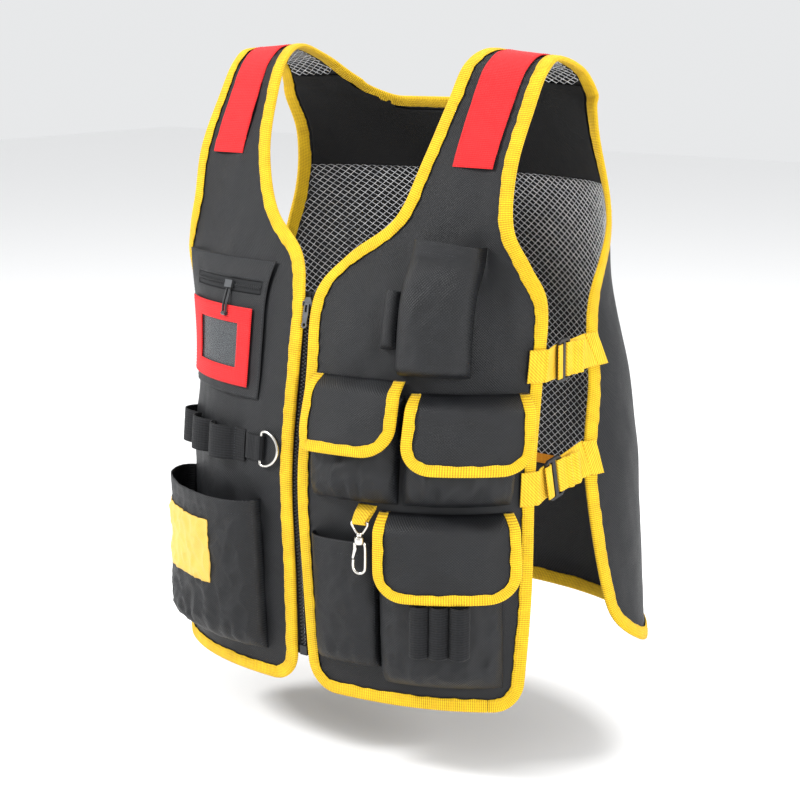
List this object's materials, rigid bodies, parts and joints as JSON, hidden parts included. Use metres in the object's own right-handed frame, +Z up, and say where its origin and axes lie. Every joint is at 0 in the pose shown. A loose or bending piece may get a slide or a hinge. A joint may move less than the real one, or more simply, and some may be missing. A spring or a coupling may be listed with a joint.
{
  "type": "utility work vest",
  "caption": "Sleeveless black work vest with yellow binding, red shoulder tapes, a front zip, flap, loop and open tool pockets, and webbing side straps with sliders.",
  "frame": {"origin": "between the shoulders, at the top of the shoulder line on the middle of the wearer", "axes": "+Z up, the front faces -Y, +X is the wearer's left"},
  "size_m": [0.474, 0.3796, 0.5768],
  "materials": {
    "black_cloth": "woven, matt",
    "net": "open net",
    "yellow_tape": "ribbed tape",
    "yellow_webbing": "twill webbing",
    "red_tape": "woven tape",
    "orange_tape": "woven tape",
    "zip_black": "coil zip on woven tape",
    "elastic_black": "ribbed elastic",
    "clear_window": "clear sheet",
    "plain_label": "bare patch",
    "steel": "bright",
    "gunmetal": "dark",
    "black_plastic": "moulded"
  },
  "bodies": {
    "vest": {"front_panel_left": "black_cloth", "front_panel_right": "black_cloth", "back_panel": "black_cloth", "shoulder_net_left": "net", "shoulder_net_right": "net", "yoke_facing": "black_cloth", "back_net": "net", "net_hem_tape": "orange_tape", "neck_binding": "yellow_tape", "side_binding_left": "yellow_tape", "side_binding_right": "yellow_tape", "back_hem_binding": "yellow_tape", "shoulder_strip_left": "red_tape", "shoulder_strip_right": "red_tape", "zip_tape_left": "zip_black", "zip_tape_right": "zip_black", "zip_chain": "zip_black", "zip_bottom_stop": "zip_black", "zip_slider": "gunmetal", "chest_patch": "black_cloth", "chest_zip": "zip_black", "id_frame": "red_tape", "id_window": "clear_window", "chest_zip_slider": "zip_black", "chest_zip_cord": "zip_black", "tool_pocket": "black_cloth", "knife_pocket": "black_cloth", "pen_sleeve": "black_cloth", "flap_pocket_inner": "black_cloth", "flap_pocket_outer": "black_cloth", "scissor_pocket": "black_cloth", "cargo_pocket": "black_cloth", "pocket_label": "plain_label", "flap_inner": "black_cloth", "flap_inner_binding": "yellow_tape", "flap_outer": "black_cloth", "flap_outer_binding": "yellow_tape", "cargo_flap": "black_cloth", "cargo_flap_binding": "yellow_tape", "tool_loops": "elastic_black", "cargo_loops": "elastic_black", "d_ring_tab": "elastic_black", "hook_tab": "yellow_webbing", "upper_front_web_left": "yellow_webbing", "upper_back_web_left": "yellow_webbing", "upper_slider_left": "black_plastic", "upper_front_web_right": "yellow_webbing", "upper_back_web_right": "yellow_webbing", "upper_slider_right": "black_plastic", "lower_front_web_left": "yellow_webbing", "lower_back_web_left": "yellow_webbing", "lower_slider_left": "black_plastic", "lower_front_web_right": "yellow_webbing", "lower_back_web_right": "yellow_webbing", "lower_slider_right": "black_plastic"},
    "pull": {"zip_pull": "gunmetal"},
    "ring": {"d_ring": "steel"},
    "eye": {"hook_eye": "steel"},
    "hook": {"snap_hook": "steel"},
    "gate": {"hook_gate": "steel"}
  },
  "joints": [
    {"name": "pull_hinge", "type": "hinge", "parent": "vest", "child": "pull", "pos_m": [0, -0.12508, -0.21789], "axis": [-1, 0, 0], "range_deg": [0, 150]},
    {"name": "ring_hinge", "type": "hinge", "parent": "vest", "child": "ring", "pos_m": [-0.04018, -0.14435, -0.35111], "axis": [-0.0073, -0.1012, -0.9948], "range_deg": [0, 130]},
    {"name": "eye_hinge", "type": "hinge", "parent": "vest", "child": "eye", "pos_m": [0.08235, -0.15508, -0.39792], "axis": [-0.9778, -0.2094, 0], "range_deg": [0, 90]},
    {"name": "hook_swivel", "type": "hinge", "parent": "eye", "child": "hook", "pos_m": [0.08235, -0.15508, -0.39792], "axis": [0, 0, 1], "continuous": true},
    {"name": "gate_hinge", "type": "hinge", "parent": "hook", "child": "gate", "pos_m": [0.07863, -0.15588, -0.42032], "axis": [0.2094, -0.9778, 0], "range_deg": [0, 28], "stiffness_Nm_per_rad": 0.004, "springref_deg": -17.19}
  ]
}
